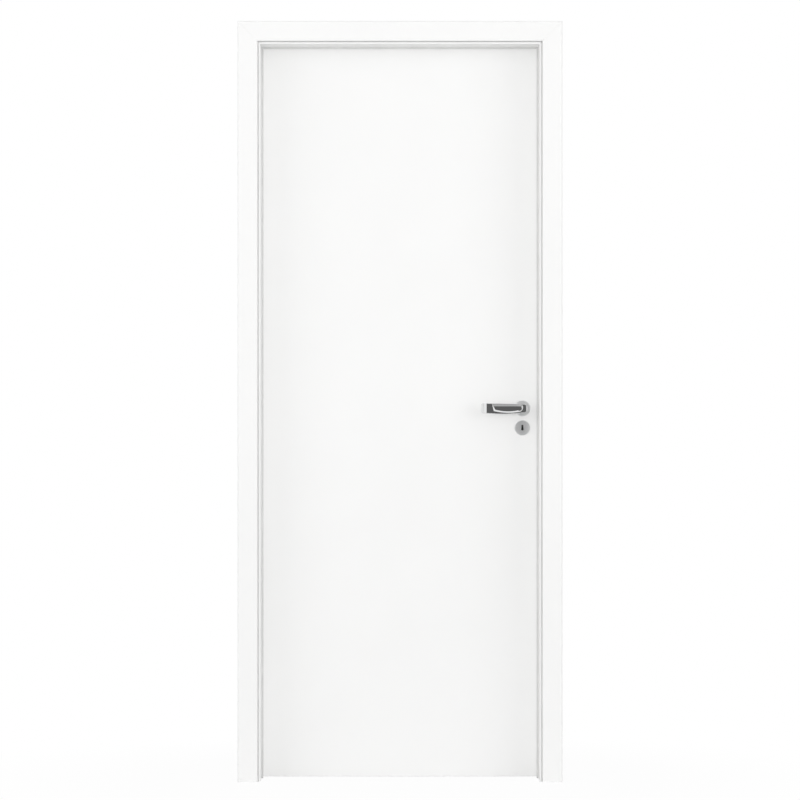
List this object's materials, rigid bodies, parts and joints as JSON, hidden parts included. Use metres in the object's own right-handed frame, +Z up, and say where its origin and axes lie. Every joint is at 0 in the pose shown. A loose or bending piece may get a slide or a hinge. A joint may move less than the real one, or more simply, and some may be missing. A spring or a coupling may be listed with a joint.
{
  "type": "prehung flush door",
  "caption": "White flush door prehung in a rebated, cased frame, with butt hinges, a polished lever handle and a round keyhole escutcheon.",
  "frame": {"origin": "on the back of the hinge jamb, at floor level, on the middle plane of the wall", "axes": "+X across the opening from the hinge side to the strike side, +Y through the wall to the side the leaf opens to, +Z up; the picture looks along +Y"},
  "size_m": [0.92, 0.212, 2.155],
  "materials": {
    "leaf_paint": "satin",
    "edge_paint": "satin",
    "frame_paint": "satin",
    "seal_rubber": "matte",
    "hinge_steel": "satin",
    "lock_steel": "satin",
    "zinc_steel": "satin",
    "polished_chrome": "polished"
  },
  "bodies": {
    "frame": {"hinge_jamb": "frame_paint", "strike_jamb": "frame_paint", "head_jamb": "frame_paint", "front_casing_hinge_side": "frame_paint", "front_casing_strike_side": "frame_paint", "front_casing_head": "frame_paint", "back_casing_hinge_side": "frame_paint", "back_casing_strike_side": "frame_paint", "back_casing_head": "frame_paint", "seal_hinge_side": "seal_rubber", "seal_strike_side": "seal_rubber", "seal_head": "seal_rubber", "strike_plate": "lock_steel", "hinge_top_frame_leaf": "hinge_steel", "hinge_middle_frame_leaf": "hinge_steel", "hinge_bottom_frame_leaf": "hinge_steel", "hinge_top_pin": "hinge_steel", "hinge_middle_pin": "hinge_steel", "hinge_bottom_pin": "hinge_steel"},
    "door": {"front_skin": "leaf_paint", "back_skin": "leaf_paint", "hinge_stile": "edge_paint", "lock_stile": "edge_paint", "top_rail": "edge_paint", "bottom_rail": "edge_paint", "hinge_top_door_leaf": "hinge_steel", "hinge_middle_door_leaf": "hinge_steel", "hinge_bottom_door_leaf": "hinge_steel", "lock_faceplate": "lock_steel", "lock_case": "zinc_steel", "latch_bolt": "lock_steel", "dead_bolt": "lock_steel", "front_rose": "polished_chrome", "back_rose": "polished_chrome", "front_escutcheon": "polished_chrome", "back_escutcheon": "polished_chrome"},
    "levers": {"front_lever": "polished_chrome", "back_lever": "polished_chrome", "lever_spindle": "zinc_steel"}
  },
  "joints": [
    {"name": "door_swing", "type": "hinge", "parent": "frame", "child": "door", "pos_m": [0.023, 0.0775, 1.05], "axis": [0, 0, 1], "range_deg": [0, 170]},
    {"name": "lever_turn", "type": "hinge", "parent": "door", "child": "levers", "pos_m": [0.786, 0.0525, 1.058], "axis": [0, -1, 0], "range_deg": [0, 40], "stiffness_Nm_per_rad": 1.5, "springref_deg": -34.38}
  ]
}
